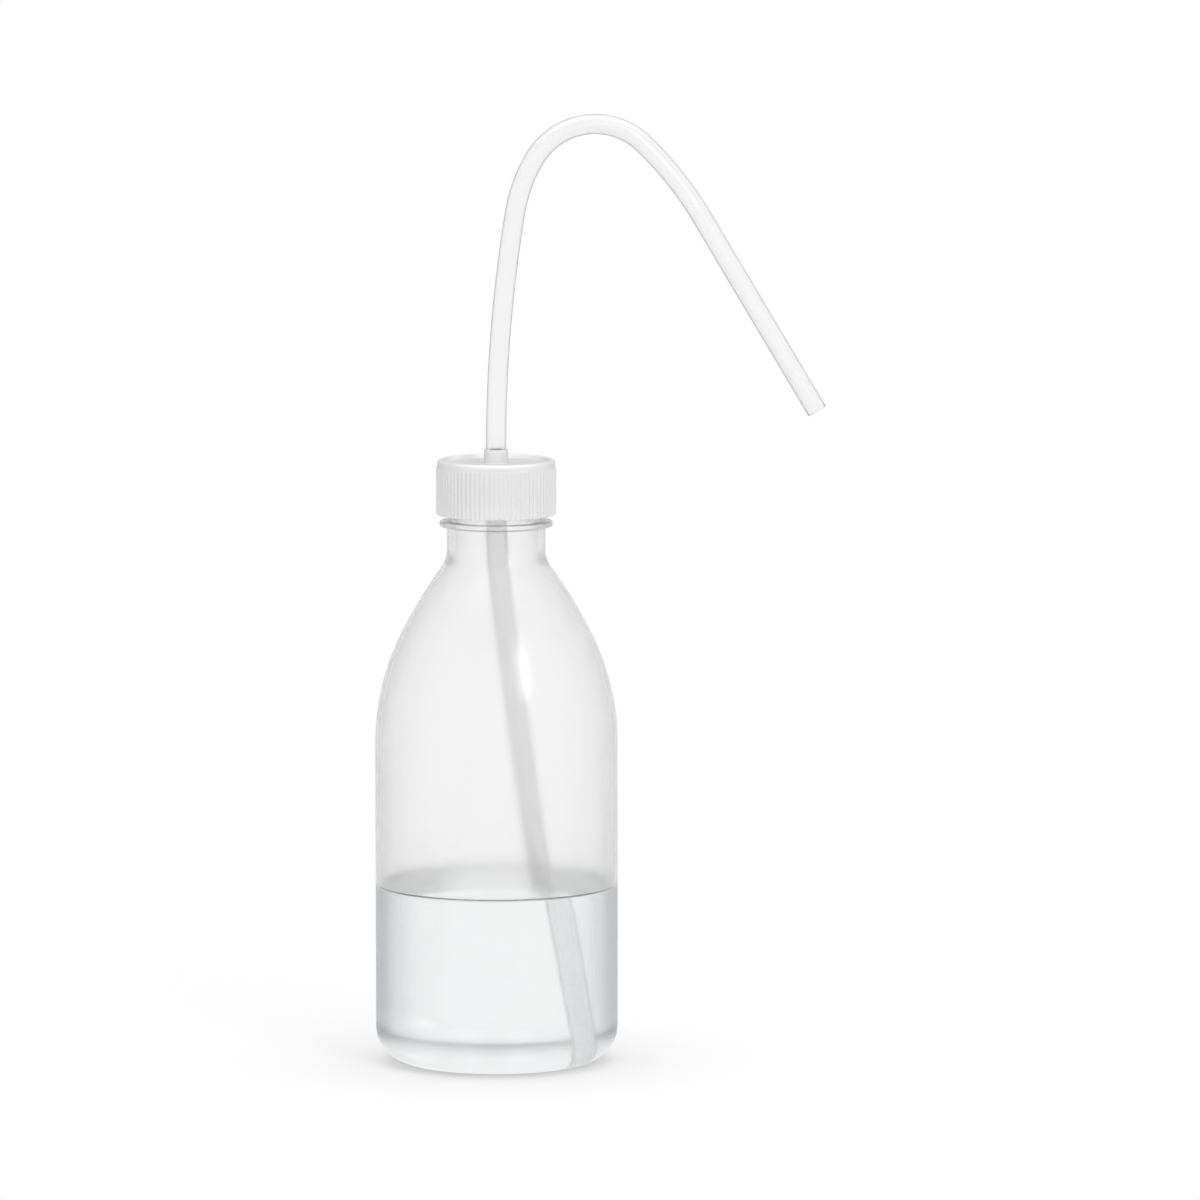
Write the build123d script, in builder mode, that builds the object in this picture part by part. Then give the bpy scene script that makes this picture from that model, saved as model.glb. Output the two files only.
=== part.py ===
from build123d import *
from math import atan2, cos, degrees, radians, sin, tan
import os

# A 500 ml narrow-neck wash bottle of soft, translucent plastic.
# A blown bottle carries a screw cap, and a bent tube passes through the cap's sleeve.
# Millimetres, +Z up, the spout points to +X, and the origin is the middle of the base.

os.makedirs("parts", exist_ok=True)

# Blown body
body_r = 37.5  # outside radius of the straight wall
wall = 1.1  # thickness of the blown wall
wall_top_z = 99.0  # height where the shoulder begins
base_thick = 1.6  # thickness of the base
base_corner_r = 11.0  # round corner between the wall and the base
foot_ring_width = 2.0  # flat ring that the bottle stands on
base_rise = 1.2  # how far the dish rises in the middle

# Shoulder, two round stretches and a short cone that lean in towards the neck
shoulder_lean = 26.5  # degrees from upright where the two round stretches meet
cone_lean = 34.5  # degrees from upright on the cone
shoulder_high_r = 145.0  # radius of the upper stretch
cone_run = 2.25  # how far the cone comes in towards the neck
neck_curve_r = 9.6  # hollow curve between the cone and the neck

# Neck
neck_r = 15.2  # outside radius below the collar
bore_r = 12.9  # inside radius of the neck
neck_rise = 7.2  # from the foot of the neck up to the collar
collar_r = 17.5  # outside radius of the collar
collar_thick = 1.6
collar_round = 0.45  # rounding of the collar's edge
finish_r = 14.3  # outside radius of the threaded part
finish_rise = 15.7  # from the collar up to the mouth
mouth_round = 0.35  # rounding of the mouth's edges

# Screw thread, right-handed, the same ridge on the neck and in the cap
thread_pitch = 4.5
thread_height = 1.7  # how far the neck's ridge stands out
thread_foot = 2.2  # width of a ridge at its foot
thread_flank = 21.0  # degrees that a flank leans
thread_sink = 0.4  # how deep a ridge's foot lies in its wall
neck_thread_turns = 1.75
cap_thread_turns = 1.5
thread_top_gap = 2.6  # from the upper end of the neck's ridge to the mouth
thread_end_step = 0.2  # height left where the neck's ridge runs out
thread_flank_gap = 0.1  # between the two ridges where they bear on each other
thread_crest_gap = 0.3  # from a crest to the wall that faces it

# Cap
skirt_wall = 1.9
skirt_gap = 2.0  # from the collar up to the skirt
skirt_lead = 0.4  # slope on the skirt's lower inside edge
rib_count = 76
rib_height = 0.3  # how far a rib stands out
rib_r = 0.5  # radius of a rib's back
smooth_band = 2.3  # plain height above the ribs
panel_thick = 2.0  # thickness of the cap's flat top
rim_rise = 1.2  # height of the rim round the flat top
rim_wall = 1.9  # thickness of that rim
rim_outer_round = 1.0
rim_inner_round = 0.4
seal_gap = 0.05  # between the mouth and the cap's underside
plug_gap = 0.06  # between the sealing lip and the bore of the neck
plug_depth = 2.2  # how deep the sealing lip reaches into the neck
plug_wall = 0.9
plug_round = 0.35

# Sleeve on the cap, the tube turns in it
sleeve_wall = 0.57
sleeve_rise = 4.35  # above the cap's flat top
sleeve_gap = 0.05  # between the tube and the sleeve
sleeve_top_round = 0.4
sleeve_foot_round = 0.6

# Tube, one piece from the foot in the bottle to the tip of the spout
tube_r = 3.1
tube_bore_r = 2.05
tube_guide = 0.3  # straight length above the sleeve
riser_r = 450.0  # slow bend of the riser
riser_angle = 9.3
arch_in_r = 48.0  # bend that leads into the arch
arch_in_angle = 21.3
arch_r = 21.5  # tight top of the arch
arch_angle = 103.5
arch_out_r = 110.0  # bend that leads out of the arch
arch_out_angle = 15.2
spout_length = 69.3  # straight end of the spout
dip_start = 13.0  # from the mouth down to where the tube starts to bend
dip_r = 200.0  # bend below the neck
dip_angle = 6.2
dip_slow_r = 1400.0  # slow bend in the middle of the bottle
dip_slow_angle = 2.0
foot_gap = 0.3  # from the foot of the tube to the top of the dish

# Water
water_level = 55.0
water_gap = 0.05  # from the water to the bottle and the tube

# Worked out from the sizes above
ridge_taper = tan(radians(thread_flank))
foot_ring_r = body_r - base_corner_r
base_dish_r = foot_ring_r - foot_ring_width
dish_angle = 2 * degrees(atan2(base_rise, base_dish_r))
dish_arc_r = (base_dish_r**2 + base_rise**2) / (2 * base_rise)
cone_curve_in = neck_curve_r * (1 - cos(radians(cone_lean)))
high_in = shoulder_high_r * (cos(radians(shoulder_lean)) - cos(radians(cone_lean)))
low_in = body_r - neck_r - high_in - cone_run - cone_curve_in
shoulder_low_r = low_in / (1 - cos(radians(shoulder_lean)))
neck_foot_z = (
    wall_top_z
    + shoulder_low_r * sin(radians(shoulder_lean))
    + shoulder_high_r * (sin(radians(cone_lean)) - sin(radians(shoulder_lean)))
    + cone_run / tan(radians(cone_lean))
    + neck_curve_r * sin(radians(cone_lean))
)
collar_z = neck_foot_z + neck_rise
collar_top_z = collar_z + collar_thick
mouth_z = collar_top_z + finish_rise
thread_crest_r = finish_r + thread_height
neck_thread_z = mouth_z - thread_top_gap - neck_thread_turns * thread_pitch
skirt_inner_r = thread_crest_r + thread_crest_gap
skirt_r = skirt_inner_r + skirt_wall
cap_crest_r = finish_r + thread_crest_gap
skirt_z = collar_top_z + skirt_gap
panel_z = mouth_z + seal_gap
panel_top_z = panel_z + panel_thick
rim_z = panel_top_z + rim_rise
rib_top_z = rim_z - smooth_band
sleeve_bore_r = tube_r + sleeve_gap
sleeve_r = sleeve_bore_r + sleeve_wall
sleeve_top_z = panel_top_z + sleeve_rise
plug_r = bore_r - plug_gap
riser_z = sleeve_top_z + tube_guide
dip_z = mouth_z - dip_start


def draw_wall(inset, floor_z, neck_inside_r, curve_r):
    """Draw the blown wall at an inset from its outside, from the axis to the foot of the neck."""
    dish = JernArc((0, floor_z + base_rise), (1, 0), dish_arc_r, -dish_angle)
    ring = Line(dish @ 1, (foot_ring_r, floor_z))
    corner = JernArc(ring @ 1, (1, 0), base_corner_r - inset, 90)
    side = Line(corner @ 1, (body_r - inset, wall_top_z))
    low = JernArc(side @ 1, (0, 1), shoulder_low_r - inset, shoulder_lean)
    high = JernArc(low @ 1, low % 1, shoulder_high_r - inset, cone_lean - shoulder_lean)
    cone_end_r = neck_inside_r + curve_r * (1 - cos(radians(cone_lean)))
    cone_rise = ((high @ 1).X - cone_end_r) / tan(radians(cone_lean))
    cone = Line(high @ 1, (cone_end_r, (high @ 1).Y + cone_rise))
    curve = JernArc(cone @ 1, cone % 1, curve_r, -cone_lean)
    return dish @ 0, curve @ 1


def ridge(foot_r, crest_r, turns):
    """Make a ridge that climbs round the axis from +X, with its foot sunk into the wall at foot_r."""
    sunk_r = foot_r - thread_sink if crest_r > foot_r else foot_r + thread_sink
    sunk = thread_foot / 2 + ridge_taper * thread_sink
    crest = thread_foot / 2 - ridge_taper * abs(crest_r - foot_r)
    with BuildPart() as made:
        with BuildLine() as climb:
            Helix(pitch=thread_pitch, height=turns * thread_pitch, radius=foot_r)
        with BuildSketch(Plane.XZ):
            with BuildLine():
                Polyline((sunk_r, -sunk), (crest_r, -crest), (crest_r, crest), (sunk_r, sunk), close=True)
            make_face()
        sweep(path=climb.line, is_frenet=True)
    return made.part


def hose(route, outside_r, inside_r):
    """Make a hollow round tube along a route."""
    wire = route.wire()
    with BuildPart() as made:
        with BuildSketch(Plane(origin=wire @ 0, z_dir=wire % 0)):
            Circle(outside_r)
            Circle(inside_r, mode=Mode.SUBTRACT)
        sweep(path=wire)
    return made.part


# The neck's ridge runs out at both ends, where a flat cut leaves only a low step.
with BuildPart() as neck_ridge:
    add(ridge(finish_r, thread_crest_r, neck_thread_turns))
    for turn in (0, neck_thread_turns):
        with Locations((0, 0, turn * thread_pitch)):
            with PolarLocations(finish_r + thread_end_step, 1, start_angle=360 * turn):
                Box(
                    2 * thread_height,
                    2 * finish_r,
                    thread_pitch - thread_foot / 2,
                    align=(Align.MIN, Align.CENTER, Align.CENTER),
                    mode=Mode.SUBTRACT,
                )

# Corners of the neck's outside and mouth as radius, height and rounding, from the foot upwards
neck_corners = [
    (neck_r, collar_z, collar_round),
    (collar_r, collar_z, collar_round),
    (collar_r, collar_top_z, collar_round),
    (finish_r, collar_top_z, collar_round),
    (finish_r, mouth_z, mouth_round),
    (bore_r, mouth_z, mouth_round),
]

# The blown bottle with its collar, mouth and thread
with BuildPart() as bottle:
    with BuildSketch(Plane.XZ):
        with BuildLine():
            outside_foot, outside_end = draw_wall(0, 0, neck_r, neck_curve_r)
            inside_foot, inside_end = draw_wall(wall, base_thick, bore_r, neck_curve_r + wall)
            FilletPolyline(
                outside_end,
                *[(r, z) for r, z, rounding in neck_corners],
                inside_end,
                radius=[rounding for r, z, rounding in neck_corners],
            )
            Line(inside_foot, outside_foot)
        make_face()
    revolve(axis=Axis.Z)
    with Locations((0, 0, neck_thread_z)):
        add(neck_ridge.part)

# The cap's ridge lies just under the neck's ridge and bears on its lower flank.
ridge_drop = thread_foot + thread_flank_gap - ridge_taper * (skirt_inner_r - finish_r)
with BuildPart() as cap_ridge:
    add(ridge(skirt_inner_r, cap_crest_r, cap_thread_turns))

# Corners of the cap above its ribs, round its rim, flat top, sleeve and sealing lip
cap_corners = [
    (skirt_inner_r, rib_top_z, 0),
    (skirt_r, rib_top_z, 0),
    (skirt_r, rim_z, rim_outer_round),
    (skirt_r - rim_wall, rim_z, rim_inner_round),
    (skirt_r - rim_wall, panel_top_z, rim_inner_round),
    (sleeve_r, panel_top_z, sleeve_foot_round),
    (sleeve_r, sleeve_top_z, sleeve_top_round),
    (sleeve_bore_r, sleeve_top_z, 0),
    (sleeve_bore_r, panel_z, 0),
    (plug_r - plug_wall, panel_z, 0),
    (plug_r - plug_wall, panel_z - plug_depth, plug_round),
    (plug_r, panel_z - plug_depth, plug_round),
    (plug_r, panel_z, 0),
    (skirt_inner_r, panel_z, 0),
]

# The screw cap, a ribbed skirt below and the flat top above
with BuildPart() as cap:
    with BuildSketch(Plane.XY.offset(skirt_z)):
        Circle(skirt_r)
        with PolarLocations(skirt_r + rib_height - rib_r, rib_count):
            Circle(rib_r)
        Circle(skirt_inner_r, mode=Mode.SUBTRACT)
    extrude(amount=rib_top_z - skirt_z)
    with BuildSketch(Plane.XZ):
        with BuildLine():
            FilletPolyline(
                *[(r, z) for r, z, rounding in cap_corners],
                radius=[rounding for r, z, rounding in cap_corners],
                close=True,
            )
        make_face()
    revolve(axis=Axis.Z)
    chamfer(cap.edges().group_by(Axis.Z)[0].sort_by(SortBy.LENGTH)[-1], skirt_lead)
    with Locations((0, 0, neck_thread_z - ridge_drop)):
        add(cap_ridge.part)

# The tube's route: up from the sleeve over the arch to the tip, and down from it to the foot
with BuildLine(Plane.XZ) as spout_route:
    riser = JernArc((0, riser_z), (0, 1), riser_r, -riser_angle)
    arch_in = JernArc(riser @ 1, riser % 1, arch_in_r, -arch_in_angle)
    arch = JernArc(arch_in @ 1, arch_in % 1, arch_r, -arch_angle)
    arch_out = JernArc(arch @ 1, arch % 1, arch_out_r, -arch_out_angle)
    spout = Line(arch_out @ 1, arch_out @ 1 + spout_length * (arch_out % 1))

dip_lean = dip_angle + dip_slow_angle
foot_z = base_thick + base_rise + foot_gap + tube_r * sin(radians(dip_lean))
with BuildLine(Plane.XZ) as dip_route:
    guide = Line((0, riser_z), (0, dip_z))
    dip = JernArc(guide @ 1, (0, -1), dip_r, dip_angle)
    dip_slow = JernArc(dip @ 1, dip % 1, dip_slow_r, dip_slow_angle)
    dip_run = ((dip_slow @ 1).Z - foot_z) / cos(radians(dip_lean))
    Line(dip_slow @ 1, dip_slow @ 1 + dip_run * (dip_slow % 1))

with BuildPart() as spray_tube:
    add(hose(spout_route, tube_r, tube_bore_r))
    add(hose(dip_route, tube_r, tube_bore_r))

# The water stands in the bottle and in the foot of the tube.
with BuildPart() as water:
    with BuildSketch(Plane.XZ):
        with BuildLine():
            water_foot, water_end = draw_wall(
                wall + water_gap, base_thick + water_gap, bore_r - water_gap, neck_curve_r + wall + water_gap
            )
            Polyline(water_end, (0, neck_foot_z), water_foot)
        make_face()
    revolve(axis=Axis.Z)
    split(bisect_by=Plane.XY.offset(water_level), keep=Keep.BOTTOM)
    add(hose(dip_route, tube_r + water_gap, tube_bore_r - water_gap), mode=Mode.SUBTRACT)

bottle.part.label = "bottle"
export_step(bottle.part, "parts/bottle.step")
cap.part.label = "cap"
export_step(cap.part, "parts/cap.step")
spray_tube.part.label = "spray_tube"
export_step(spray_tube.part, "parts/spray_tube.step")
water.part.label = "water"
export_step(water.part, "parts/water.step")
print("neck foot", neck_foot_z, "collar", collar_z, "mouth", mouth_z, "skirt", skirt_z, "rim", rim_z)
print("sleeve top", sleeve_top_z, "tip", spout @ 1, "foot", foot_z, "low shoulder radius", shoulder_low_r)
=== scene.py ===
# %% [markdown]
# # A 500 ml wash bottle in soft, see-through plastic
#
# The part is a lab wash bottle: a blown bottle, a screw cap, one bent tube and some water.
# Four see-through pieces lie inside each other, so this lesson is about two things.
# The first is how to turn and sweep clean closed shells with a wall of the right thickness.
# The second is how milky polyethylene and clear water look when the light comes through them.
#
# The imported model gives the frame: where each piece is, how big it is and how it moves.
# Each piece below is modelled anew in that frame, in metres, and stands for its plain solid.

# %% The frame
from math import acos, atan2, ceil, cos, degrees, pi, radians, sin, sqrt, tan

import bmesh
import bpy
from mathutils import Matrix, Vector


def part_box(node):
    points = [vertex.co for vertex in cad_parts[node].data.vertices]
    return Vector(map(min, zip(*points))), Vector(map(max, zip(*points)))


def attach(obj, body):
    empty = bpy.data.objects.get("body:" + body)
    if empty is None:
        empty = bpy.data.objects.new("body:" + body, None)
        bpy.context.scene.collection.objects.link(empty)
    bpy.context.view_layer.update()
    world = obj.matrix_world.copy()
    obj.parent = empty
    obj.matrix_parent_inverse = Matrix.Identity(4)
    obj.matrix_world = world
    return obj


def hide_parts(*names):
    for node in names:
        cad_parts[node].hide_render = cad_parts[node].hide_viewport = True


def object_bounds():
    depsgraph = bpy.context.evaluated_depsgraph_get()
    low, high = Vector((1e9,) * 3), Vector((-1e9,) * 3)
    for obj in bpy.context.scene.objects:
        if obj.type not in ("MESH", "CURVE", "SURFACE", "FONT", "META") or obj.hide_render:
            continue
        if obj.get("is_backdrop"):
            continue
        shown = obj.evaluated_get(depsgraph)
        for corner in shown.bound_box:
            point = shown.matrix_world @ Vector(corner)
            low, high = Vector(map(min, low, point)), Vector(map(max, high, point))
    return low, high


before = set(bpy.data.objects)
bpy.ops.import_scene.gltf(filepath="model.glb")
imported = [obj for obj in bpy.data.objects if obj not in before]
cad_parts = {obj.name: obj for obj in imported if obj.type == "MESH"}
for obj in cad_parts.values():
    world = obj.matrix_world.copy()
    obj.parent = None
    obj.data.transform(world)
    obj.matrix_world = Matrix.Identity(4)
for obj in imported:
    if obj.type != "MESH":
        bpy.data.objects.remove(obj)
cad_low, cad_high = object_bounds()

mm = 0.001
print("the whole bottle is", [round(size / mm, 1) for size in cad_high - cad_low], "mm")

# %% [markdown]
# ## The sizes
#
# Overall sizes are read from the frame, so a changed frame moves them here too.
# The rest are the real sizes of such a bottle, in millimetres turned into metres.
# Only a few of them drive the shape. Heights up the neck are added up from these.

# %% Sizes of the bottle
body_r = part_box("bottle")[1].x
mouth_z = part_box("bottle")[1].z
wall = 1.1 * mm
wall_top_z = 99.0 * mm
base_thick = 1.6 * mm
base_corner_r = 11.0 * mm
foot_ring_width = 2.0 * mm
base_rise = 1.2 * mm
shoulder_lean = 26.5
cone_lean = 34.5
shoulder_low_r = 77.04 * mm
shoulder_high_r = 145.0 * mm
neck_curve_r = 9.6 * mm
neck_r = 15.2 * mm
bore_r = 12.9 * mm
collar_r = 17.5 * mm
collar_thick = 1.6 * mm
collar_round = 0.45 * mm
finish_r = 14.3 * mm
finish_rise = 15.7 * mm
mouth_round = 0.35 * mm
collar_top_z = mouth_z - finish_rise
collar_z = collar_top_z - collar_thick
print("body", round(2 * body_r / mm, 2), "mm across, mouth at", round(mouth_z / mm, 2), "mm")

# %% Sizes of the thread and the cap
thread_pitch = 4.5 * mm
thread_height = 1.7 * mm
thread_foot = 2.2 * mm
thread_flank = 21.0
thread_sink = 0.4 * mm
thread_gap = 0.3 * mm
thread_top_gap = 2.6 * mm
thread_play = 0.1 * mm
neck_turns = 1.75
cap_turns = 1.5
skirt_wall = 1.9 * mm
rib_count = 76
rib_height = 0.3 * mm
rib_r = 0.5 * mm
smooth_band = 2.3 * mm
rim_rise = 1.2 * mm
rim_wall = 1.9 * mm
panel_thick = 2.0 * mm
seal_gap = 0.05 * mm
plug_gap = 0.06 * mm
plug_depth = 2.2 * mm
plug_wall = 0.9 * mm
sleeve_wall = 0.57 * mm
sleeve_gap = 0.05 * mm
skirt_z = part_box("cap")[0].z
skirt_inner_r = finish_r + thread_height + thread_gap
skirt_r = skirt_inner_r + skirt_wall
panel_z = mouth_z + seal_gap
panel_top_z = panel_z + panel_thick
rim_z = panel_top_z + rim_rise
rib_top_z = rim_z - smooth_band
sleeve_top_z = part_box("cap")[1].z
neck_thread_z = mouth_z - thread_top_gap - neck_turns * thread_pitch
cap_height = rim_z - skirt_z
print("cap", round(2 * skirt_r / mm, 2), "mm across and", round(cap_height / mm, 2), "mm high")

# %% Sizes of the tube and the water
tube_r = 3.1 * mm
tube_bore_r = 2.05 * mm
tube_guide = 0.3 * mm
riser = (450.0 * mm, 9.3)
arch_in = (48.0 * mm, 21.3)
arch = (21.5 * mm, 103.5)
arch_out = (110.0 * mm, 15.2)
spout_length = 69.3 * mm
dip_start = 13.0 * mm
dip = (200.0 * mm, 6.2)
dip_slow = (1400.0 * mm, 2.0)
foot_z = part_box("spray_tube")[0].z
water_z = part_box("water")[1].z
sleeve_bore_r = tube_r + sleeve_gap
sleeve_r = sleeve_bore_r + sleeve_wall
riser_z = sleeve_top_z + tube_guide
dip_z = mouth_z - dip_start
print("water stands", round(water_z / mm, 1), "mm high")
print("the tube's foot is at", round(foot_z / mm, 2), "mm")

# %% [markdown]
# ## A pen for outlines
#
# Nearly everything here is turned on a lathe or swept along a path of lines and arcs.
# Both can be drawn the same way: a pen holds a vertex, or a whole ring of them.
# It drags them straight on with an extrude, or round a centre with a spin.
# A curve object could draw the paths too, but the pen keeps every arc at its true radius.
# It also shares out the steps so that no facet stands off the true curve by more than a hair.

# %% The pen
facet_depth = 0.006 * mm
most_turn = 9.0
long_steps = 20


def steps_for(radius, angle):
    """How many straight steps an arc needs to stay within facet_depth of the true curve."""
    fine = 2 * degrees(acos(1 - facet_depth / max(radius, 2 * facet_depth)))
    return max(2, ceil(abs(angle) / min(fine, most_turn)))


class Pen:
    """Draws in the plane y = 0. The heading is 0 outwards (+X) and 90 up (+Z), in degrees."""

    def __init__(self, r, z, heading, ring=None):
        self.bm = bmesh.new()
        self.r, self.z, self.heading = r, z, heading
        if ring is None:
            self.tip = [self.bm.verts.new((r, 0, z))]
        else:
            self.tip = ring(self.bm)
        self.start = list(self.tip)

    def forward(self, length, steps=1):
        """Drag the tip straight on, in one step or several."""
        for part in range(steps):
            self.drag(length / steps)
        return self

    def drag(self, length):
        """Drag the tip one step on."""
        step = Vector((cos(radians(self.heading)), 0, sin(radians(self.heading)))) * length
        verts = [item for item in self.tip if isinstance(item, bmesh.types.BMVert)]
        edges = [item for item in self.tip if isinstance(item, bmesh.types.BMEdge)]
        if edges:
            made = bmesh.ops.extrude_edge_only(self.bm, edges=edges)["geom"]
            self.tip = [item for item in made if not isinstance(item, bmesh.types.BMFace)]
            ring = set(item for item in self.tip if isinstance(item, bmesh.types.BMVert))
            self.tip = [item for item in self.tip if item in ring or set(item.verts) <= ring]
            moved = list(ring)
        else:
            self.tip = bmesh.ops.extrude_vert_indiv(self.bm, verts=verts)["verts"]
            moved = self.tip
        bmesh.ops.translate(self.bm, vec=step, verts=moved)
        self.r, self.z = self.r + step.x, self.z + step.z

    def to_r(self, r, steps=1):
        """Go straight on until a radius is reached."""
        return self.forward((r - self.r) / cos(radians(self.heading)), steps)

    def to_z(self, z, steps=1):
        """Go straight on until a height is reached."""
        return self.forward((z - self.z) / sin(radians(self.heading)), steps)

    def corner(self, heading):
        """Turn on the spot, which leaves a sharp corner."""
        self.heading = heading
        return self

    def turn(self, radius, angle):
        """Go round an arc, to the left for a positive angle."""
        side = radians(self.heading + (90 if angle > 0 else -90))
        centre = Vector((self.r + radius * cos(side), 0, self.z + radius * sin(side)))
        made = bmesh.ops.spin(
            self.bm, geom=self.tip, cent=centre, axis=(0, -1, 0), dvec=(0, 0, 0),
            angle=radians(angle), steps=steps_for(radius, angle),
            use_merge=False, use_normal_flip=False, use_duplicate=False,
        )
        self.tip = made["geom_last"]
        self.heading += angle
        side += radians(angle)
        self.r, self.z = centre.x - radius * cos(side), centre.z - radius * sin(side)
        return self


probe = Pen(0, 0, 0).forward(10 * mm).turn(5 * mm, 90)
print("a test line ends at", round(probe.r / mm, 3), round(probe.z / mm, 3), "mm")
probe.bm.free()

# %% [markdown]
# ## From outline to shell
#
# A full spin about Z turns an outline into a closed shell, with its last step merged to the first.
# Vertices on the axis come out once per step, so doubles are merged before anything else.
# Only then are the normals worked out. They point out of the plastic on both sides of the wall.

# %% Lathe and finishing
merge_distance = 0.0005 * mm
sharp_angle = 38.0


def lathe(bm, steps):
    """Turn the outline in bm into a closed shell of revolution."""
    bmesh.ops.spin(
        bm, geom=bm.verts[:] + bm.edges[:], cent=(0, 0, 0), axis=(0, 0, 1), dvec=(0, 0, 0),
        angle=2 * pi, steps=steps, use_merge=True, use_normal_flip=False, use_duplicate=False,
    )
    clean(bm)


def clean(bm):
    """Merge doubles, drop what has no area and point all faces outwards."""
    bmesh.ops.remove_doubles(bm, verts=bm.verts, dist=merge_distance)
    bmesh.ops.dissolve_degenerate(bm, edges=bm.edges, dist=merge_distance)
    bmesh.ops.recalc_face_normals(bm, faces=bm.faces)


def to_object(bm, name):
    """Make an object of bm, with its place in its mesh and the object itself at the origin."""
    mesh = bpy.data.meshes.new(name)
    bm.to_mesh(mesh)
    bm.free()
    mesh.shade_smooth()
    mesh.set_sharp_from_angle(angle=radians(sharp_angle))
    piece = bpy.data.objects.new(name, mesh)
    bpy.context.scene.collection.objects.link(piece)
    return piece


def report(piece):
    """Print what a finished mesh is made of, and whether it is closed."""
    bm = bmesh.new()
    bm.from_mesh(piece.data)
    open_edges = sum(1 for edge in bm.edges if not edge.is_manifold)
    volume = round(bm.calc_volume() / mm**3)
    triangles = sum(len(face.verts) - 2 for face in bm.faces)
    bm.free()
    print(piece.name, triangles, "triangles,", open_edges, "open edges,", volume, "mm3")


# %% [markdown]
# ## The screw thread
#
# The real thread is one ridge that climbs round the neck, with its mate inside the cap.
# A spin with a rise at each step sweeps the ridge's section up a helix.
# The ridge fades out at both ends, as a moulder draws it so that the cap starts easily.
# A union then fuses it with its wall, so the piece stays one closed shell without hidden faces.

# %% Ridge and union
ridge_steps = 96
fade_turn = 0.07
ridge_taper = tan(radians(thread_flank))


def ridge(foot_r, crest_r, start_z, turns, fade):
    """A ridge that climbs round the axis from +X, with its foot sunk into the wall at foot_r."""
    outwards = 1 if crest_r > foot_r else -1
    sunk_r = foot_r - outwards * thread_sink
    sunk = thread_foot / 2 + ridge_taper * thread_sink
    crest = thread_foot / 2 - ridge_taper * abs(crest_r - foot_r)
    bm = bmesh.new()
    section = [(sunk_r, -sunk), (crest_r, -crest), (crest_r, crest), (sunk_r, sunk)]
    face = bm.faces.new([bm.verts.new((r, 0, start_z + z)) for r, z in section])
    steps = round(ridge_steps * turns)
    bmesh.ops.spin(
        bm, geom=[face, *face.edges, *face.verts], cent=(0, 0, 0), axis=(0, 0, 1),
        dvec=(0, 0, thread_pitch * turns / steps), angle=2 * pi * turns, steps=steps,
        use_merge=False, use_normal_flip=False, use_duplicate=False,
    )
    clean(bm)
    for vert in bm.verts:
        r = sqrt(vert.co.x**2 + vert.co.y**2)
        part = atan2(vert.co.y, vert.co.x) / (2 * pi)
        turn = part + round((vert.co.z - start_z) / thread_pitch - part)
        share = min(1, max(0, min(turn, turns - turn) / fade)) if fade else 1
        wanted = sunk_r + (r - sunk_r) * (1 - (1 - share) ** 2)
        vert.co.x *= wanted / r
        vert.co.y *= wanted / r
    return bm


def fuse(piece, bm):
    """Fuse a second closed shell with a piece."""
    added = to_object(bm, piece.name + "_ridge")
    union = piece.modifiers.new("union", "BOOLEAN")
    union.operation = "UNION"
    union.solver = "EXACT"
    union.object = added
    seen = piece.evaluated_get(bpy.context.evaluated_depsgraph_get())
    mesh = bpy.data.meshes.new_from_object(seen)
    piece.modifiers.clear()
    plain = piece.data
    piece.data = mesh
    mesh.name = piece.name
    bpy.data.meshes.remove(plain)
    bpy.data.objects.remove(added)
    mesh.shade_smooth()
    mesh.set_sharp_from_angle(angle=radians(sharp_angle))


# %% [markdown]
# ## The bottle
#
# The real bottle is blown: a hot hose of plastic is closed in a mould and inflated.
# That gives one wall of even thickness, round corners everywhere and a dish under the base.
# The outline is drawn once, up the outside, over the mouth and down the inside.
# The radii inside are those outside less the wall, so the thickness comes out even.

# %% Outline of the bottle
bottle_steps = 160
foot_ring_r = body_r - base_corner_r
dish_r = foot_ring_r - foot_ring_width
dish_angle = 2 * degrees(atan2(base_rise, dish_r))
dish_arc_r = (dish_r**2 + base_rise**2) / (2 * base_rise)


def up_the_wall(pen, inset, end_r, curve_r):
    """Draw a blown wall from the axis to the foot of the neck, inset from its outside."""
    pen.turn(dish_arc_r, -dish_angle).corner(0).to_r(foot_ring_r)
    pen.turn(base_corner_r - inset, 90).to_z(wall_top_z, long_steps)
    pen.turn(shoulder_low_r - inset, shoulder_lean)
    pen.turn(shoulder_high_r - inset, cone_lean - shoulder_lean)
    pen.to_r(end_r + curve_r * (1 - cos(radians(cone_lean))))
    pen.turn(curve_r, -cone_lean)
    return pen


outside = up_the_wall(Pen(0, base_rise, 0), 0, neck_r, neck_curve_r)
outside.to_z(collar_z - collar_round).turn(collar_round, -90).to_r(collar_r - collar_round)
outside.turn(collar_round, 90).to_z(collar_top_z - collar_round).turn(collar_round, 90)
outside.to_r(finish_r + collar_round).turn(collar_round, -90)
outside.to_z(mouth_z - mouth_round).turn(mouth_round, 90)
outside.to_r(bore_r + mouth_round).turn(mouth_round, 90)
inside = up_the_wall(Pen(0, base_thick + base_rise, 0), wall, bore_r, neck_curve_r + wall)
neck_foot_z = inside.z
outside.to_z(neck_foot_z)
print("the neck begins at", round(neck_foot_z / mm, 2), "mm")

# %% [markdown]
# ### The shell of the bottle
#
# The outline of the inside is added to that of the outside. They meet where the neck begins.
# Outside and inside could be two shells, but one turn of both gives a wall without a seam.
# The thread is fused to the neck afterwards, because a ridge that climbs can't be turned.

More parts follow.
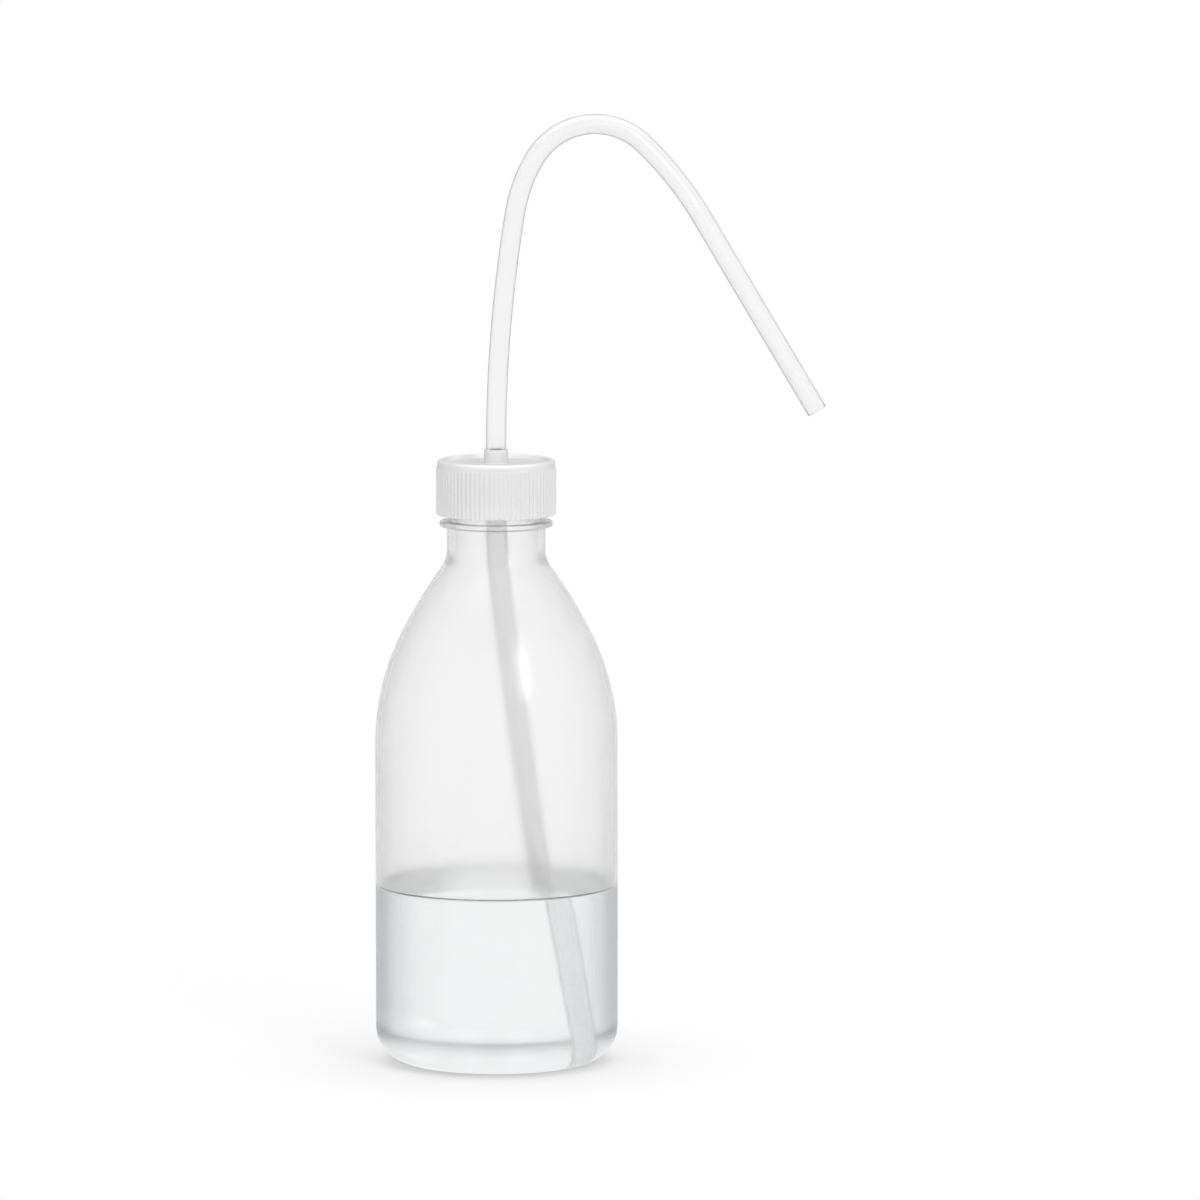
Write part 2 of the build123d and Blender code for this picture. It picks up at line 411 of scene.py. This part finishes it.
# %% Shell of the bottle
inside_mesh = bpy.data.meshes.new("inside")
inside.bm.to_mesh(inside_mesh)
outside.bm.from_mesh(inside_mesh)
inside.bm.free()
bpy.data.meshes.remove(inside_mesh)
lathe(outside.bm, bottle_steps)
bottle = to_object(outside.bm, "bottle_shell")
fuse(bottle, ridge(finish_r, finish_r + thread_height, neck_thread_z, neck_turns, fade_turn))
report(bottle)

# %% [markdown]
# ## The cap
#
# The cap is injection moulded, so it has thicker walls and sharper edges than the bottle.
# It is turned like the bottle, from one outline that ends where it began.
# The skirt gets extra steps near both ends of the ribs, for the rounding that comes there.

# %% Outline of the cap
rim_outer_round = 1.0 * mm
rim_inner_round = 0.4 * mm
sleeve_top_round = 0.4 * mm
sleeve_foot_round = 0.6 * mm
plug_round = 0.35 * mm
skirt_lead = 0.4 * mm
rib_end = 0.35 * mm
rib_end_steps = 4
plug_r = bore_r - plug_gap

cap_pen = Pen(skirt_r, skirt_z, 90)
for part in range(1, rib_end_steps + 1):
    cap_pen.to_z(skirt_z + rib_end * part / rib_end_steps)
for part in range(rib_end_steps, -1, -1):
    cap_pen.to_z(rib_top_z - rib_end * part / rib_end_steps)
cap_pen.to_z(rim_z - rim_outer_round).turn(rim_outer_round, 90)
cap_pen.to_r(skirt_r - rim_wall + rim_inner_round).turn(rim_inner_round, 90)
cap_pen.to_z(panel_top_z + rim_inner_round).turn(rim_inner_round, -90)
cap_pen.to_r(sleeve_r + sleeve_foot_round).turn(sleeve_foot_round, -90)
cap_pen.to_z(sleeve_top_z - sleeve_top_round).turn(sleeve_top_round, 90).to_r(sleeve_bore_r)
cap_pen.corner(270).to_z(panel_z).corner(0).to_r(plug_r - plug_wall)
cap_pen.corner(270).to_z(panel_z - plug_depth + plug_round).turn(plug_round, 90)
cap_pen.to_r(plug_r - plug_round).turn(plug_round, 90).to_z(panel_z)
cap_pen.corner(0).to_r(skirt_inner_r).corner(270).to_z(skirt_z + skirt_lead)
cap_pen.corner(315).to_z(skirt_z).corner(0).to_r(skirt_r)
print("the outline of the cap closes at", round(cap_pen.r / mm, 3), round(cap_pen.z / mm, 3), "mm")

# %% [markdown]
# ### The ribs
#
# The ribs give fingers a grip, and each is the back of a thin round bar.
# They could be fused to the skirt one by one, which is slow and leaves many small faces.
# So the skirt is turned with many steps, and its own vertices move out to a rib's height.
# At both ends the ribs run out in a quarter round, because a mould's cutter leaves one there.

# %% Ribs on the skirt
steps_per_rib = 8
lathe(cap_pen.bm, rib_count * steps_per_rib)
skirt_verts = [
    vert for vert in cap_pen.bm.verts
    if abs(sqrt(vert.co.x**2 + vert.co.y**2) - skirt_r) < merge_distance
    and vert.co.z < rib_top_z + merge_distance
]
for vert in skirt_verts:
    around = atan2(vert.co.y, vert.co.x) * rib_count / (2 * pi)
    off_middle = abs(around - round(around)) * 2 * pi * skirt_r / rib_count
    height = sqrt(max(0, rib_r**2 - off_middle**2)) - (rib_r - rib_height)
    to_end = min(vert.co.z - skirt_z, rib_top_z - vert.co.z) / rib_end
    share = sqrt(max(0, 1 - max(0, 1 - to_end) ** 2))
    wanted = skirt_r + max(0, height) * share
    vert.co.x *= wanted / skirt_r
    vert.co.y *= wanted / skirt_r
cap = to_object(cap_pen.bm, "cap_shell")
ridge_drop = thread_foot + thread_play - ridge_taper * (skirt_inner_r - finish_r)
cap_thread_z = neck_thread_z - ridge_drop
fuse(cap, ridge(skirt_inner_r, finish_r + thread_gap, cap_thread_z, cap_turns, fade_turn))
report(cap)

# %% [markdown]
# ## The spray tube
#
# The tube is drawn plastic hose, set into its bends with heat, and it is hollow from end to end.
# The pen now drags two rings at once, the outside of the tube and its bore.
# It starts at the sleeve and goes up over the arch, then down to the foot from the same rings.
# At each end the bore's ring is dragged out to the outside's, as bridging can turn dragged rings.
# A bevel then takes the edge off, where the real tube was cut with a knife.
# It picks its edges by their angle, so the normals have to agree before it.

# %% Tube
ring_steps = 40
cut_edge = 0.12 * mm
cut_steps = 2
cut_angle = 60.0
end_reach = 1.1 * tube_r
ring_merge = 0.03 * mm
dip_top_steps = 4


def two_rings(bm):
    """The outside and the bore of the tube, level, round the axis."""
    made = []
    for radius in (tube_r, tube_bore_r):
        ring = bmesh.ops.create_circle(bm, cap_ends=False, radius=radius, segments=ring_steps)
        bmesh.ops.translate(bm, vec=(0, 0, riser_z), verts=ring["verts"])
        made += ring["verts"]
    return made + bm.edges[:]


def close_end(bm, rings):
    """Drag the bore's ring out to the outside's ring, and take the edges off."""
    ends = [item for item in rings if isinstance(item, bmesh.types.BMVert)]
    centre = sum((vert.co for vert in ends), Vector()) / len(ends)
    middle = (tube_r + tube_bore_r) / 2
    bore = [
        item for item in rings
        if isinstance(item, bmesh.types.BMEdge) and (item.verts[0].co - centre).length < middle
    ]
    made = bmesh.ops.extrude_edge_only(bm, edges=bore)["geom"]
    verts = [item for item in made if isinstance(item, bmesh.types.BMVert)]
    bmesh.ops.scale(
        bm, vec=[tube_r / tube_bore_r] * 3, space=Matrix.Translation(-centre), verts=verts
    )
    bmesh.ops.remove_doubles(bm, verts=ends + verts, dist=ring_merge)
    bmesh.ops.recalc_face_normals(bm, faces=bm.faces)
    edges = [
        edge for edge in bm.edges
        if all((vert.co - centre).length < end_reach for vert in edge.verts)
        and edge.calc_face_angle(0) > radians(cut_angle)
    ]
    print("edges to take off at this end:", len(edges))
    bmesh.ops.bevel(
        bm, geom=edges, affect="EDGES", offset=cut_edge, offset_type="OFFSET",
        segments=cut_steps, profile=0.5, material=-1,
    )


hose = Pen(0, riser_z, 90, two_rings)
for radius, angle in (riser, arch_in, arch, arch_out):
    hose.turn(radius, -angle)
hose.forward(spout_length, long_steps)
close_end(hose.bm, hose.tip)
print("the spout ends at", round(hose.r / mm, 2), round(hose.z / mm, 2), "mm")
hose.tip, hose.r, hose.z, hose.heading = hose.start, 0, riser_z, 270
hose.to_z(dip_z, dip_top_steps)
for radius, angle in (dip, dip_slow):
    hose.turn(radius, angle)
lean = radians(hose.heading - 270)
hose.to_z(foot_z + tube_r * sin(lean))
close_end(hose.bm, hose.tip)
clean(hose.bm)
bore_edge = (tube_r + tube_bore_r) * pi / ring_steps
bore_faces = [
    face for face in hose.bm.faces if min(edge.calc_length() for edge in face.edges) < bore_edge
]
for face in bore_faces:
    face.material_index = 2
print(len(bore_faces), "faces line the bore, known by their narrower width")
tube = to_object(hose.bm, "tube_shell")
report(tube)

# %% [markdown]
# ## The water
#
# The water is a closed solid too, turned from the bottle's inner outline up to the level.
# It reaches a hair into the plastic, so no film of air is left between the two.
# A film of air would mirror the light at the sides, and real water wets the wall.
# Where its surface meets the wall it curves up, and that edge carries a painted reflection which
# draws the fine dark line of the level.
# No hole is left for the tube, so the water looks whole when the tube is lifted out of it.

# %% Water
wetting = 0.03 * mm
meniscus_r = 1.3 * mm
meniscus_turn = 62.0
water_pen = Pen(0, base_thick + base_rise - wetting, 0)
water_pen.turn(dish_arc_r, -dish_angle).corner(0).to_r(foot_ring_r)
water_pen.turn(base_corner_r - wall + wetting, 90)
water_r = water_pen.r
water_pen.to_z(water_z + meniscus_r * (1 - cos(radians(meniscus_turn))))
water_pen.corner(180 + meniscus_turn).turn(meniscus_r, -meniscus_turn).to_r(0)
lathe(water_pen.bm, bottle_steps)
water = to_object(water_pen.bm, "water_fill")
report(water)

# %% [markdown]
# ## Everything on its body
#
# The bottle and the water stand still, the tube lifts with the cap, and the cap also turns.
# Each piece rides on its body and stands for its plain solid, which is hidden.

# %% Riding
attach(bottle, "bottle")
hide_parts("bottle")
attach(water, "bottle")
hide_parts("water")
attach(tube, "tube")
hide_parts("spray_tube")
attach(cap, "cap")
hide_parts("cap")
print("on their bodies:", [piece.name for piece in (bottle, water, tube, cap)])

# %% [markdown]
# ## Finishes
#
# Low-density polyethylene lets light through but scatters it.
# So it looks milky, and it blurs what is behind it.
# All finishes are built from nodes, and a few short helpers keep that readable.

# %% Helpers for nodes
def new_material(name):
    """An empty node material, with its output node."""
    material = bpy.data.materials.new(name)
    material.use_nodes = True
    nodes = material.node_tree.nodes
    nodes.clear()
    return material, nodes, material.node_tree.links, nodes.new("ShaderNodeOutputMaterial")


def noise(nodes, links, scale, stretch=(1, 1, 1), detail=3.0):
    """A noise in Object coordinates, stretched along the axes."""
    place = nodes.new("ShaderNodeTexCoord")
    mapping = nodes.new("ShaderNodeMapping")
    mapping.inputs["Scale"].default_value = stretch
    texture = nodes.new("ShaderNodeTexNoise")
    texture.inputs["Scale"].default_value = scale
    texture.inputs["Detail"].default_value = detail
    links.new(place.outputs["Object"], mapping.inputs["Vector"])
    links.new(mapping.outputs["Vector"], texture.inputs["Vector"])
    return texture.outputs["Fac"]


def spread(nodes, links, value, low, high, to_low, to_high):
    """Map a value from one range to another."""
    node = nodes.new("ShaderNodeMapRange")
    node.inputs["From Min"].default_value = low
    node.inputs["From Max"].default_value = high
    node.inputs["To Min"].default_value = to_low
    node.inputs["To Max"].default_value = to_high
    links.new(value, node.inputs["Value"])
    return node.outputs["Result"]


def calculate(nodes, links, operation, first, second):
    """A sum on a socket and a second one, which may be a plain number."""
    node = nodes.new("ShaderNodeMath")
    node.operation = operation
    links.new(first, node.inputs[0])
    if isinstance(second, float):
        node.inputs[1].default_value = second
    else:
        links.new(second, node.inputs[1])
    return node.outputs["Value"]


def mixed(nodes, links, share, first, second):
    """Two shaders mixed by a share, where 0 is all the first."""
    node = nodes.new("ShaderNodeMixShader")
    links.new(share, node.inputs["Fac"])
    links.new(first, node.inputs[1])
    links.new(second, node.inputs[2])
    return node.outputs["Shader"]


def facing(nodes, links, power):
    """How far a surface is seen edge-on, from 0 to 1, raised to a power."""
    weight = nodes.new("ShaderNodeLayerWeight")
    weight.inputs["Blend"].default_value = 0.5
    return calculate(nodes, links, "POWER", weight.outputs["Facing"], power)


def set_in(nodes, links, value, low, high):
    """Fade a value in from one height to another."""
    place = nodes.new("ShaderNodeTexCoord")
    split = nodes.new("ShaderNodeSeparateXYZ")
    links.new(place.outputs["Object"], split.inputs["Vector"])
    height = spread(nodes, links, split.outputs["Z"], low, high, 0, 1)
    return calculate(nodes, links, "MULTIPLY", value, height)


# %% [markdown]
# ### Milky plastic
#
# A slightly rough glass gives the blur, and a thin haze of matt shader gives the milk.
# Subsurface scattering could be used instead. Here blur and milk each have their own value.
# The haze throws light back on the outside of the wall and lets it through from the inside.
# A haze that only threw it back trapped the light in the wall, and the plastic went dark.
# Where the eye looks along a wall, the light has a long way through it, and the haze thickens.
# Layer Weight's facing sets that: raised to a power, it is low face on, high at the edge. It also
# paints the haze greyer edge-on, a painted shade.

# %% Milky plastic
streak_scale = 90.0
streak_stretch = (1, 1, 0.12)
streak_range = (0.3, 0.7)
dent_scale = 70.0
dent_stretch = (1, 1, 0.2)
dent_detail = 1.0
dent_strength = 0.1
dent_depth = 0.2 * mm


def milky(name, ior, rough, share, colour_and_edge_shade, power, reach, absorb, rise=None):
    """Milky plastic: rough glass under a matt haze that thickens edge-on.

    share is the haze's part; the two colours are its own colour face on and its painted shade edge
    on.
    power and reach say how it goes from one to the other with the facing.
    rise is the range of height over which that sets in, for a piece that has one.
    """
    material, nodes, links, output = new_material(name)
    glass = nodes.new("ShaderNodeBsdfPrincipled")
    glass.inputs["Base Color"].default_value = (0.995, 0.995, 0.995, 1)
    glass.inputs["IOR"].default_value = ior
    glass.inputs["Transmission Weight"].default_value = 1.0
    streaks = noise(nodes, links, streak_scale, streak_stretch)
    links.new(spread(nodes, links, streaks, *streak_range, *rough), glass.inputs["Roughness"])
    bump = nodes.new("ShaderNodeBump")
    bump.inputs["Strength"].default_value = dent_strength
    bump.inputs["Distance"].default_value = dent_depth
    dents = noise(nodes, links, dent_scale, dent_stretch, dent_detail)
    links.new(dents, bump.inputs["Height"])
    links.new(bump.outputs["Normal"], glass.inputs["Normal"])
    tilt = facing(nodes, links, power)
    if rise:
        tilt = set_in(nodes, links, tilt, *rise)
    # The ramp paints the haze from its own colour face on to a painted shade edge on.
    edge_shade_ramp = nodes.new("ShaderNodeValToRGB")
    for stop, place, colour in zip(edge_shade_ramp.color_ramp.elements, reach, colour_and_edge_shade):
        stop.position = place
        stop.color = (*colour, 1)
    links.new(tilt, edge_shade_ramp.inputs["Fac"])
    haze = nodes.new("ShaderNodeBsdfDiffuse")
    through = nodes.new("ShaderNodeBsdfTranslucent")
    links.new(edge_shade_ramp.outputs["Color"], haze.inputs["Color"])
    links.new(edge_shade_ramp.outputs["Color"], through.inputs["Color"])
    side = nodes.new("ShaderNodeNewGeometry").outputs["Backfacing"]
    milk = mixed(nodes, links, side, haze.outputs["BSDF"], through.outputs["BSDF"])
    part = spread(nodes, links, tilt, *reach, *share)
    plastic = mixed(nodes, links, part, glass.outputs["BSDF"], milk)
    links.new(plastic, output.inputs["Surface"])
    dim = nodes.new("ShaderNodeVolumeAbsorption")
    dim.inputs["Color"].default_value = (*absorb[:3], 1)
    dim.inputs["Density"].default_value = absorb[3]
    links.new(dim.outputs["Volume"], output.inputs["Volume"])
    return material


# %% [markdown]
# ### Wet and dry
#
# Plastic looks different in water, so the bottle and the tube change their finish there.
# A mix by height in one material could do that too.
# With a cut through the mesh, each part has a plain material of its own, with its own index.

# %% Cutting at the level
def cut_at_level(piece, finishes):
    """Cut a piece at the water's level. The finishes come in pairs, above and below it."""
    bm = bmesh.new()
    bm.from_mesh(piece.data)
    geometry = bm.verts[:] + bm.edges[:] + bm.faces[:]
    bmesh.ops.bisect_plane(
        bm, geom=geometry, plane_co=(0, 0, water_z), plane_no=(0, 0, 1), dist=merge_distance
    )
    under = [face for face in bm.faces if face.calc_center_median().z < water_z]
    for face in under:
        face.material_index += 1
    print(piece.name, "has", len(under), "faces below the water's level")
    bm.to_mesh(piece.data)
    bm.free()
    for finish in finishes:
        piece.data.materials.append(finish)


# %% [markdown]
# ### The bottle
#
# The wall is thin, so above the water it is nearly clear, and only its edges are painted grey, a
# painted shade.
# Below the level the water wets the wall inside, and a wet wall scatters much less.
# There the bottle is also one thick lens, whose sides show the darker room beside the sweep.
# The room here is white all round, so the haze of the wet wall is painted a blue grey at the
# sides, a painted shade for that darker room. That painted shade fades in above the base, which
# stays bright.

# %% Plastic of the bottle
plastic_ior = 1.51
dim = (0.45, 0.47, 0.5, 4.0)
bright = (0.96, 0.96, 0.96)
# The edge-on colours below are painted shade: grey at the dry edges, blue grey at the wet sides.
bottle_dry = milky(
    "bottle_ldpe", plastic_ior, rough=(0.17, 0.21), share=(0.05, 0.5),
    colour_and_edge_shade=(bright, (0.66, 0.665, 0.67)), power=2.0, reach=(0.0, 1.0), absorb=dim,
)
bottle_wet = milky(
    "bottle_ldpe_wet", plastic_ior, rough=(0.1, 0.13), share=(0.05, 0.52),
    colour_and_edge_shade=(bright, (0.42, 0.445, 0.475)), power=1.0, reach=(0.1, 0.6), absorb=dim,
    rise=(4 * mm, 12 * mm),
)
cut_at_level(bottle, [bottle_dry, bottle_wet])

# %% [markdown]
# ### The cap
#
# The cap is thicker and milkier than the bottle, so it glows more than it shows what is inside.

# %% Plastic of the cap
# The edge-on grey is painted shade at the cap's sides.
cap_finish = milky(
    "cap_ldpe", plastic_ior, rough=(0.2, 0.25), share=(0.78, 0.9),
    colour_and_edge_shade=(bright, (0.58, 0.585, 0.59)), power=1.2, reach=(0.0, 1.0), absorb=dim,
)
cap.data.materials.append(cap_finish)
print("the cap's finish is", cap_finish.name)

# %% [markdown]
# ### The tube
#
# The tube is drawn and thin, so only its edges are painted grey, a painted shade like the dark
# edges of a glass straw.
# The bore has a finish without that painted shade, or its edges would draw a second pair of lines.
# Above the water it is rougher than a real tube, which took the grain off the riser in renders.
# Some grain still shows in the spout.
# In the water it bends light much less, because its index is measured against the water's.

# %% Plastic of the tube
water_ior = 1.333
# The grey of the tube's edges is painted shade.
tube_edge_shade = (0.45, 0.455, 0.46)
tube_dry = milky(
    "tube_ldpe", plastic_ior, rough=(0.28, 0.32), share=(0.06, 0.85),
    colour_and_edge_shade=(bright, tube_edge_shade), power=1.5, reach=(0.1, 0.6), absorb=dim,
)
tube_wet = milky(
    "tube_ldpe_wet", plastic_ior / water_ior, rough=(0.05, 0.08), share=(0.02, 0.7),
    colour_and_edge_shade=(bright, tube_edge_shade), power=1.5, reach=(0.1, 0.7), absorb=dim,
)
bore_dry = milky(
    "bore_ldpe", plastic_ior, rough=(0.1, 0.14), share=(0.02, 0.02),
    colour_and_edge_shade=(bright, bright), power=1.0, reach=(0.0, 1.0), absorb=dim,
)
bore_wet = milky(
    "bore_ldpe_wet", plastic_ior / water_ior, rough=(0.05, 0.08), share=(0.01, 0.01),
    colour_and_edge_shade=(bright, bright), power=1.0, reach=(0.0, 1.0), absorb=dim,
)
cut_at_level(tube, [tube_dry, tube_wet, bore_dry, bore_wet])

# %% [markdown]
# ### The water
#
# Clear water only bends light, so its finish is one smooth glass of the right index.
# On the real bottle, the curved edge where it climbs the wall mirrors the dark of the room.
# That draws the line of the level. The room here is white, so the edge gets a painted grey haze, a
# painted reflection of that dark.

# %% Water finish
water_finish, nodes, links, output = new_material("clear_water")
clear = nodes.new("ShaderNodeBsdfPrincipled")
clear.inputs["Base Color"].default_value = (0.985, 0.992, 1.0, 1)
clear.inputs["Roughness"].default_value = 0.0
clear.inputs["IOR"].default_value = water_ior
clear.inputs["Transmission Weight"].default_value = 1.0
links.new(clear.outputs["BSDF"], output.inputs["Surface"])
# The dark grey of the level's line is a painted reflection of a dark room.
level_reflection_grey = (0.16, 0.17, 0.18)
level_painted_reflection = milky(
    "water_edge_painted_reflection", water_ior, rough=(0.05, 0.06), share=(0.55, 0.55),
    colour_and_edge_shade=(level_reflection_grey, level_reflection_grey), power=1.0, reach=(0.0, 1.0), absorb=(1, 1, 1, 0),
)
water.data.materials.append(water_finish)
water.data.materials.append(level_painted_reflection)
edge_z = water_z + merge_distance
# The faces above the level, on the curved edge, take the painted reflection.
painted_reflection_faces = [face for face in water.data.polygons if face.center.z > edge_z]
for face in painted_reflection_faces:
    face.material_index = 1
print(len(painted_reflection_faces), "faces draw the line of the level")

# %% [markdown]
# ## Floor, light and camera
#
# The bottle stands on a white sweep under soft studio light.
# The camera looks slightly down on it through a long lens, so the upright sides stay upright.
# Rays that the eye follows, straight, mirrored or bent, see a plain white room.
# Light that has met a matt surface sees the room's true level, so the floor keeps a shadow.

# %% What the eye sees
def seen_rays(nodes, links):
    """1 for rays from the eye, also mirrored or bent, and 0 once they have met a matt surface."""
    path = nodes.new("ShaderNodeLightPath").outputs
    clear_way = calculate(nodes, links, "MAXIMUM", path["Is Camera Ray"], path["Is Glossy Ray"])
    clear_way = calculate(nodes, links, "MAXIMUM", clear_way, path["Is Transmission Ray"])
    fresh = calculate(nodes, links, "LESS_THAN", path["Diffuse Depth"], 0.5)
    return path, calculate(nodes, links, "MULTIPLY", clear_way, fresh)


# %% [markdown]
# ### The floor
#
# The floor of the photo is white paper, blown out to pure white except for a soft shadow.
# A floor that only glows would have no shadow, and one of plain paper would look grey.
# So it is part paper and part glow, which together are white where no shadow falls.
# Rays that come bent or mirrored see it plain white, like the room.

# %% Floor
floor_r = 240 * mm
floor_drop = 0.02 * mm
floor_steps = 128
paper_grey = (0.5, 0.5, 0.5)
glow = 0.46
floor_bm = bmesh.new()
bmesh.ops.create_circle(floor_bm, cap_ends=True, radius=floor_r, segments=floor_steps)
bmesh.ops.translate(floor_bm, vec=(0, 0, -floor_drop), verts=floor_bm.verts)
floor = to_object(floor_bm, "floor")
floor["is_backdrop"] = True
floor_finish, nodes, links, output = new_material("white_sweep")
paper = nodes.new("ShaderNodeBsdfDiffuse")
paper.inputs["Color"].default_value = (*paper_grey, 1)
lift = nodes.new("ShaderNodeEmission")
lift.inputs["Strength"].default_value = glow
plain = nodes.new("ShaderNodeAddShader")
links.new(paper.outputs["BSDF"], plain.inputs[0])
links.new(lift.outputs["Emission"], plain.inputs[1])
white = nodes.new("ShaderNodeEmission")
white.inputs["Strength"].default_value = 1.0
path, seen = seen_rays(nodes, links)
bent = calculate(nodes, links, "SUBTRACT", seen, path["Is Camera Ray"])
bent.node.use_clamp = True
chosen = mixed(nodes, links, bent, plain.outputs["Shader"], white.outputs["Emission"])
links.new(chosen, output.inputs["Surface"])
floor.data.materials.append(floor_finish)
print("the floor is", round(2 * floor_r / mm), "mm across")

# %% [markdown]
# ### The room
#
# The world is the white room round the sweep, in two strengths.
# The eye sees it pure white, and matt surfaces are lit by it at its true level.

# %% World
room_level = 0.85
world = bpy.data.worlds.new("studio")
bpy.context.scene.world = world
world.use_nodes = True
nodes, links = world.node_tree.nodes, world.node_tree.links
nodes.clear()
backdrop = nodes.new("ShaderNodeBackground")
backdrop.inputs["Color"].default_value = (1, 1, 1, 1)
backdrop.inputs["Strength"].default_value = 1.0
room = nodes.new("ShaderNodeBackground")
room.inputs["Color"].default_value = (1, 1, 1, 1)
room.inputs["Strength"].default_value = room_level
output = nodes.new("ShaderNodeOutputWorld")
seen = seen_rays(nodes, links)[1]
chosen = mixed(nodes, links, seen, room.outputs["Background"], backdrop.outputs["Background"])
links.new(chosen, output.inputs["Surface"])
print("the room lights matt surfaces at", room_level)


# %% [markdown]
# ### The lamps
#
# A wide soft box overhead gives the soft shadow under the bottle.
# A narrow one from the right and in front draws the highlight on the shoulder.

# %% Lamps
def soft_lamp(name, place, aim, width, height, power):
    """A soft box that points at a spot."""
    data = bpy.data.lights.new(name, "AREA")
    data.shape = "RECTANGLE"
    data.size = width
    data.size_y = height
    data.energy = power
    lamp = bpy.data.objects.new(name, data)
    bpy.context.scene.collection.objects.link(lamp)
    lamp.location = place
    lamp.rotation_euler = (Vector(aim) - Vector(place)).to_track_quat("-Z", "Y").to_euler()
    print("lamp", name, "of", power, "W, at", place)


soft_lamp("overhead", (0, 0, 1.1), (0, 0, 0), 1.2, 1.2, 4.0)
soft_lamp("right_front", (0.55, -0.9, 0.75), (0, 0, 0.12), 0.25, 0.5, 2.0)

# %% [markdown]
# ### The camera
#
# The photo looks slightly down, and the bottle's sides stay upright in it.
# A long lens far away does that. A short lens close by would make them lean.

# %% Camera
camera_data = bpy.data.cameras.new("camera")
camera_data.sensor_width = 36
camera_data.lens = 281
camera = bpy.data.objects.new("camera", camera_data)
bpy.context.scene.collection.objects.link(camera)
camera.location = (0.032, -2.87, 0.4906)
look_at = Vector((0.032, 0, 0.1436))
camera.rotation_euler = (look_at - camera.location).to_track_quat("-Z", "Y").to_euler()
bpy.context.scene.camera = camera
bpy.context.scene.view_settings.view_transform = "Standard"
print("the camera has a", camera_data.lens, "mm lens, at", camera.location[:])

# %% [markdown]
# ## Last check
#
# The finished scene has to fit the box of the imported model to a tenth of a millimetre.

# %% Last check
slack = 0.1 * mm
seen_low, seen_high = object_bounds()
low_fits = all(seen_low[i] > cad_low[i] - slack for i in range(3))
high_fits = all(seen_high[i] < cad_high[i] + slack for i in range(3))
print("inside the box:", low_fits and high_fits)
